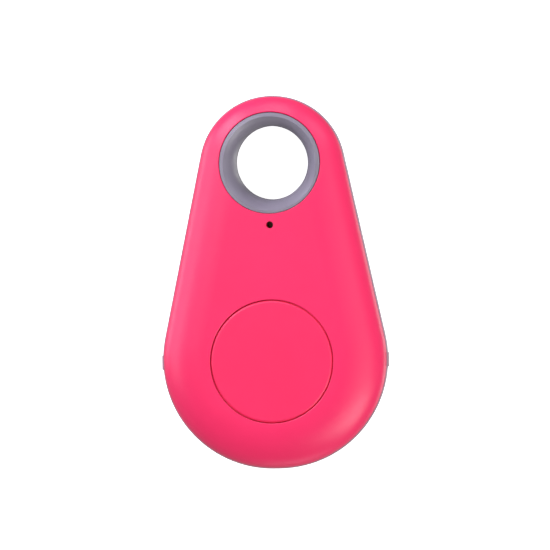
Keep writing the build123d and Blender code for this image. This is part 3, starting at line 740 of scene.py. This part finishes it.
def via_hole_shade():
    """Painted shade: dark discs on both faces where the vias' drilled middles would be."""
    bm = bmesh.new()
    for x, y in LOOSE_VIAS + edge_vias():
        upper = disc_profile(VIA_HOLE + 0.005, BOARD_HIGH - SUNK, BOARD_HIGH + 0.008)
        lower = disc_profile(VIA_HOLE + 0.005, BOARD_LOW - 0.008, BOARD_LOW + SUNK)
        # Painted shade: black discs stand in for the shade inside the drilled holes.
        add_dome(bm, (x, y), upper, 16)
        add_dome(bm, (x, y), lower, 16)
    add_piece("via_hole_shade", bm, "core", LOOKS["black_plastic"], 30)


def ring_profile(inner, outer, low, high):
    """Section of a flat ring with eased upper corners."""
    ease = min((outer - inner) / 4, (high - low) / 3)
    return [
        (inner, low), (outer, low), (outer, high - ease),
        (outer - ease, high), (inner + ease, high), (inner, high - ease),
    ]


def disc_profile(radius, low, high):
    """Section of a flat disc with an eased upper corner."""
    ease = (high - low) / 3
    return [(0, low), (radius, low), (radius, high - ease), (radius - ease, high), (0, high)]


def board_ink():
    """Printed outlines round the parts, with plain polarity marks."""
    bm = bmesh.new()
    low, high = BOARD_HIGH - INK_RISE, BOARD_HIGH + INK_RISE
    outlines = [
        (RADIO_CENTRE, (6.6, 6.6)), (SWITCH_CENTRE, (9.4, 6.4)), (LED_CENTRE, (2.9, 1.5)),
        (TRANSISTOR_CENTRE, (3.5, 3.4)), (INDUCTOR_CENTRE, (4.9, 4.7)),
    ]
    for x, y, length, width in CRYSTALS:
        outlines.append(((x, y), (length + 0.7, width + 0.7)))
    for place in CAPACITOR_CENTRES + RESISTOR_CENTRES:
        outlines.append((place, (2.0, 0.95)))
    for centre, size in outlines:
        add_frame(bm, centre, size, 0.12, low, high)
    add_strip(bm, [(9.2, -9.3), (9.9, -9.3)], 0.14, low, high)
    add_strip(bm, [(9.55, -9.65), (9.55, -8.95)], 0.14, low, high)
    add_strip(bm, [(-9.9, -9.3), (-9.2, -9.3)], 0.14, low, high)
    add_dome(bm, (-8.9, 3.0), disc_profile(0.2, low, high), 20)
    add_piece("board_ink", bm, "core", EXTRA_LOOKS["printed_white"], 30)


def solder_fillet(bm, centre, radius, rise):
    """Adds one wetted bead: a wide thin foot that climbs to a rounded crown."""
    foot = radius * 1.25
    low = BOARD_HIGH + SUNK
    profile = [(0, BOARD_HIGH - SUNK), (foot, BOARD_HIGH - SUNK), (foot, low)]
    for step in range(1, 9):
        share = step / 8
        reach = radius * (1.25 - 0.75 * share ** 0.6)
        profile.append((reach, low + rise * (share ** 1.6) * 0.8))
    profile.append((radius * 0.28, low + rise * 0.93))
    profile.append((0, low + rise))
    add_dome(bm, centre, profile, 28)


def solder_beads():
    """Wetted solder at the switch legs and wire pads, in place of the plain cones."""
    bm = bmesh.new()
    for place in SWITCH_BEADS:
        solder_fillet(bm, place, 0.38, 0.24)
    for place in WIRE_BEADS:
        solder_fillet(bm, place, 0.40, 0.27)
    piece = add_piece("solder_beads", bm, "core", LOOKS["solder"], 60)
    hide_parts("solder_joints")


def end_caps():
    """Tinned terminals on the small chips, with the solder that holds them."""
    caps = bmesh.new()
    joints = bmesh.new()
    chips = [(place, (1.0, 0.5, 0.5)) for place in CAPACITOR_CENTRES]
    chips += [(place, (1.0, 0.5, 0.35)) for place in RESISTOR_CENTRES]
    chips.append((LED_CENTRE, (1.6, 0.8, 0.3)))
    for (x, y), (length, width, height) in chips:
        reach = length * 0.23
        for side in (-1, 1):
            middle_x = x + side * (length / 2 - reach / 2 + 0.01)
            middle = (middle_x, y, BOARD_HIGH + height / 2 + 0.005)
            add_block(caps, middle, (reach + 0.02, width + 0.03, height + 0.03), 0.04)
            foot = (x + side * (length / 2 + 0.14), y, BOARD_HIGH + 0.03)
            add_block(joints, foot, (0.46, width + 0.16, 0.10), 0.045, 3)
    add_piece("chip_terminals", caps, "core", LOOKS["tinned_metal"], 50)
    add_piece("chip_fillets", joints, "core", LOOKS["solder"], 60)


def gull_wing(bm, x, y, side, width):
    """Adds a bent transistor lead that leaves the body and lands on its pad."""
    section = [(0.0, 0.50), (0.16, 0.50), (0.26, 0.40), (0.34, 0.16), (0.46, 0.08), (0.78, 0.08)]
    sheet = 0.12
    lower = [(reach, max(lift - sheet, 0.0)) for reach, lift in section]
    loop = section + lower[::-1]
    rows = []
    for half in (-width / 2, width / 2):
        rows.append([
            bm.verts.new((x + half, y + side * reach, BOARD_HIGH + lift)) for reach, lift in loop
        ])
    for index in range(len(loop)):
        after = (index + 1) % len(loop)
        bm.faces.new((rows[0][index], rows[0][after], rows[1][after], rows[1][index]))
    bm.faces.new(rows[0])
    bm.faces.new(rows[1][::-1])


def transistor():
    """Small three-lead transistor with a drafted resin body, in place of its plain block."""
    x, y = TRANSISTOR_CENTRE
    body = bmesh.new()
    add_block(body, (x, y, BOARD_HIGH + 0.575), (2.9, 1.3, 0.95))
    for vert in body.verts:
        away = abs(vert.co.z - (BOARD_HIGH + 0.5)) * 0.14
        vert.co.x += -away if vert.co.x > x else away
        vert.co.y += -away if vert.co.y > y else away
    bmesh.ops.bevel(body, geom=body.edges[:], offset=0.05, segments=2, affect="EDGES", profile=0.5)
    leads = bmesh.new()
    for shift, side in ((-0.95, -1), (0.95, -1), (0.0, 1)):
        gull_wing(leads, x + shift, y + side * 0.55, side, 0.40)
    case = add_piece("transistor_case", body, "core", LOOKS["chip_resin"], 40)
    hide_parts("driver_transistor")
    add_piece("transistor_leads", leads, "core", LOOKS["tinned_metal"], 50)


def inductor_winding():
    """Enamelled wire: five turns in one layer round the inductor's waist."""
    x, y = INDUCTOR_CENTRE
    wire = 0.10
    turns = 5
    low = BOARD_HIGH + 0.4 + wire
    high = BOARD_HIGH + 1.4 - wire
    bm = bmesh.new()
    for row in range(turns):
        z = low + (high - low) * row / (turns - 1)
        section = []
        for step in range(10):
            turn = 2 * math.pi * step / 10
            section.append((1.62 + wire * math.cos(turn), z + wire * math.sin(turn)))
        add_lathe(bm, (x, y), section, 48)
    add_piece("inductor_winding", bm, "core", EXTRA_LOOKS["enamelled_wire"], 80)


STAKE_SPREAD = 2.05


def switch_stakes():
    """Heat-staked plastic heads that hold the switch's plate at its corners."""
    bm = bmesh.new()
    top = BOARD_HIGH + 1.2
    for side in (-STAKE_SPREAD, STAKE_SPREAD):
        for end in (-STAKE_SPREAD, STAKE_SPREAD):
            place = (SWITCH_CENTRE[0] + side, SWITCH_CENTRE[1] + end)
            profile = [
                (0, top - SUNK), (0.34, top - SUNK), (0.34, top + 0.05),
                (0.27, top + 0.12), (0.14, top + 0.15), (0, top + 0.155),
            ]
            add_dome(bm, place, profile, 24)
    add_piece("switch_stakes", bm, "core", LOOKS["black_plastic"], 50)


# The switch's dome.
DOME_LOW = BOARD_HIGH + 0.3
DOME_RISE = 0.28
DOME_SHEET = 0.08
DOME_RADIUS = 2.0
DOME_RINGS = 8


def snap_dome():
    """Thin steel dome of the switch."""
    bm = bmesh.new()
    inner_radius = DOME_RADIUS * math.sqrt(1 - DOME_SHEET / DOME_RISE)
    shares = [ring / DOME_RINGS for ring in range(DOME_RINGS + 1)]
    inside = [
        (inner_radius * share, DOME_LOW + (DOME_RISE - DOME_SHEET) * (1 - share ** 2))
        for share in shares
    ]
    outside = [
        (DOME_RADIUS * share, DOME_LOW + DOME_RISE * (1 - share ** 2))
        for share in reversed(shares)
    ]
    add_dome(bm, SWITCH_CENTRE, inside + outside)
    dome = add_piece("switch_snap_dome", bm, "core", LOOKS["switch_steel"])
    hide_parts("switch_dome")
    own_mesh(dome)


CRIMP_RADIUS = 9.64
CRIMP_HALF_WIDTH = 0.33
CRIMP_LOW = 5.14
CRIMP_RISE = 0.10


def cell_crimp():
    """The can's rolled edge over the gasket."""
    bm = bmesh.new()
    section = []
    for step in range(13):
        turn = math.pi * step / 12
        reach = CRIMP_RADIUS + CRIMP_HALF_WIDTH * math.cos(turn)
        section.append((reach, CRIMP_LOW + CRIMP_RISE * math.sin(turn)))
    add_lathe(bm, CELL_CENTRE, section, 120)
    add_piece("cell_crimp", bm, "cell", LOOKS["cell_steel"], 60)


COVER_FLOOR = 1.2
EJECTOR_PLACES = [(8.2, -19.4), (11.2, -9.6), (6.0, 8.6)]


def ejector_marks():
    """Shallow rings left by ejector pins on the rear cover's floor."""
    bm = bmesh.new()
    section = ring_profile(0.95, 1.08, COVER_FLOOR - SUNK, COVER_FLOOR + 0.035)
    for x, y in EJECTOR_PLACES:
        for side in (-x, x):
            add_lathe(bm, (side, y), section, 40)
    add_piece("ejector_marks", bm, "rear", LOOKS["pink_cover"], 40)


GATE_PLACE = (0.95, 10.75, 9.55)
GATE_LEAN = math.radians(-38)


def gate_mark():
    """The small sheared gate on the sleeve's lip."""
    bm = bmesh.new()
    profile = [(0, -0.05), (0.16, -0.05), (0.17, 0.02), (0.10, 0.04), (0, 0.035)]
    add_dome(bm, (0, 0), profile, 20)
    lean = Matrix.Rotation(GATE_LEAN, 4, "X")
    bmesh.ops.transform(bm, matrix=Matrix.Translation(GATE_PLACE) @ lean, verts=bm.verts)
    add_piece("sleeve_gate_mark", bm, "core", LOOKS["grey_frame"], 40)


# Camera: a long lens almost straight above, leaning a little to the right and the crown.
CAMERA_DISTANCE = 2.00
VIEW_WIDTH = 0.0767
SENSOR_WIDTH = 36.0
CAMERA_LEAN_RIGHT = math.radians(6.2)
CAMERA_LEAN_UP = math.radians(0.5)
CAMERA_ROLL = math.radians(0.98)
AIM_SHIFT = (0.000085, 0.000995)
TAG_MIDDLE = Vector((0.0, 0.0, 0.0055))


def add_camera():
    """The camera that the picture is taken with."""
    toward = Vector((math.tan(CAMERA_LEAN_RIGHT), math.tan(CAMERA_LEAN_UP), 1.0)).normalized()
    level = Vector((0, 1, 0)).cross(toward).normalized()
    north = toward.cross(level)
    right = level * math.cos(CAMERA_ROLL) - north * math.sin(CAMERA_ROLL)
    up = north * math.cos(CAMERA_ROLL) + level * math.sin(CAMERA_ROLL)
    aim = TAG_MIDDLE + right * AIM_SHIFT[0] + up * AIM_SHIFT[1]
    data = bpy.data.cameras.new("camera")
    data.sensor_width = SENSOR_WIDTH
    data.lens = SENSOR_WIDTH * CAMERA_DISTANCE / VIEW_WIDTH
    camera = bpy.data.objects.new("camera", data)
    bpy.context.scene.collection.objects.link(camera)
    turn = Matrix((right, up, toward)).transposed().to_4x4()
    camera.matrix_world = Matrix.Translation(aim + toward * CAMERA_DISTANCE) @ turn
    bpy.context.scene.camera = camera


# Softboxes round the tag: name, azimuth and elevation in degrees, brightness and tint.
PLAIN_LIGHT = (1.0, 1.0, 1.0)
COOL_LIGHT = (1.0, 0.97, 1.15)
SOFTBOXES = [
    ("right_high", 0, 60, 0.75, PLAIN_LIGHT),
    ("right", 0, 35, 1.30, PLAIN_LIGHT),
    ("upper_right", 45, 22, 2.27, COOL_LIGHT),
    ("top_low", 90, 14, 2.60, COOL_LIGHT),
    ("top", 90, 34, 1.50, COOL_LIGHT),
    ("upper_left_low", 135, 14, 5.00, COOL_LIGHT),
    ("upper_left", 135, 35, 3.16, COOL_LIGHT),
    ("upper_left_high", 135, 60, 1.94, PLAIN_LIGHT),
    ("left_low", 175, 20, 2.70, COOL_LIGHT),
    ("left_table", 165, -18, 2.40, COOL_LIGHT),
    ("lower_right_low", 322, 16, 4.40, PLAIN_LIGHT),
    ("lower_right", 315, 38, 3.20, PLAIN_LIGHT),
    ("bottom_table", 275, -20, 0.90, COOL_LIGHT),
    ("right_table", 5, -66, 1.20, PLAIN_LIGHT),
]
SOFTBOX_SIZE = 0.44
SOFTBOX_DISTANCE = 0.90
FILL_LIGHT = 0.24
FLOOR_GAP = 0.00005


def add_softbox(name, azimuth, elevation, brightness, tint):
    """A square light that faces the tag, with its brightness as seen from there."""
    turn, lift = math.radians(azimuth), math.radians(elevation)
    away = Vector((math.cos(turn) * math.cos(lift), math.sin(turn) * math.cos(lift), math.sin(lift)))
    data = bpy.data.lights.new(name, "AREA")
    data.shape = "SQUARE"
    data.size = SOFTBOX_SIZE
    data.energy = brightness * math.pi * SOFTBOX_SIZE ** 2
    data.color = tint
    light = bpy.data.objects.new(name, data)
    bpy.context.scene.collection.objects.link(light)
    light.visible_camera = False
    facing = away.to_track_quat("Z", "Y").to_matrix().to_4x4()
    light.matrix_world = Matrix.Translation(TAG_MIDDLE + away * SOFTBOX_DISTANCE) @ facing


def add_lights():
    """An even white surround and the softboxes."""
    world = bpy.data.worlds.new("studio")
    world.use_nodes = True
    background = world.node_tree.nodes["Background"]
    background.inputs["Color"].default_value = (1.0, 1.0, 1.0, 1.0)
    background.inputs["Strength"].default_value = FILL_LIGHT
    bpy.context.scene.world = world
    bpy.context.scene.view_settings.view_transform = "Standard"
    for softbox in SOFTBOXES:
        add_softbox(*softbox)


def add_floor():
    """A wide white sheet, lit from below like a product table."""
    bm = bmesh.new()
    bmesh.ops.create_grid(bm, x_segments=2, y_segments=2, size=2.0)
    mesh = bpy.data.meshes.new("floor")
    bm.to_mesh(mesh)
    bm.free()
    look = Look("floor_sheet", roughness=0.8, specular=0.2)
    shade = look.noise(60.0, 2.0)
    look.colour(look.mix(shade, (0.86, 0.86, 0.86), (0.90, 0.90, 0.90)))
    look.set("Emission Color", (1.0, 1.0, 1.0, 1.0))
    look.set("Emission Strength", 1.0)
    mesh.materials.append(look.material)
    floor = bpy.data.objects.new("floor", mesh)
    bpy.context.scene.collection.objects.link(floor)
    floor.visible_diffuse = False
    floor.visible_glossy = False
    floor.visible_shadow = False
    floor.location.z = -FLOOR_GAP


dress_nodes()
for node in ("chip_capacitors", "chip_resistors", "main_crystal", "clock_crystal", "indicator_led"):
    soften(node, 0.05)
for node in ("switch_base", "switch_plate", "battery_holder"):
    soften(node, 0.07)
board_traces()
board_vias()
via_hole_shade()
board_ink()
solder_beads()
end_caps()
transistor()
inductor_winding()
switch_stakes()
snap_dome()
cell_crimp()
ejector_marks()
gate_mark()
add_camera()
add_lights()
add_floor()
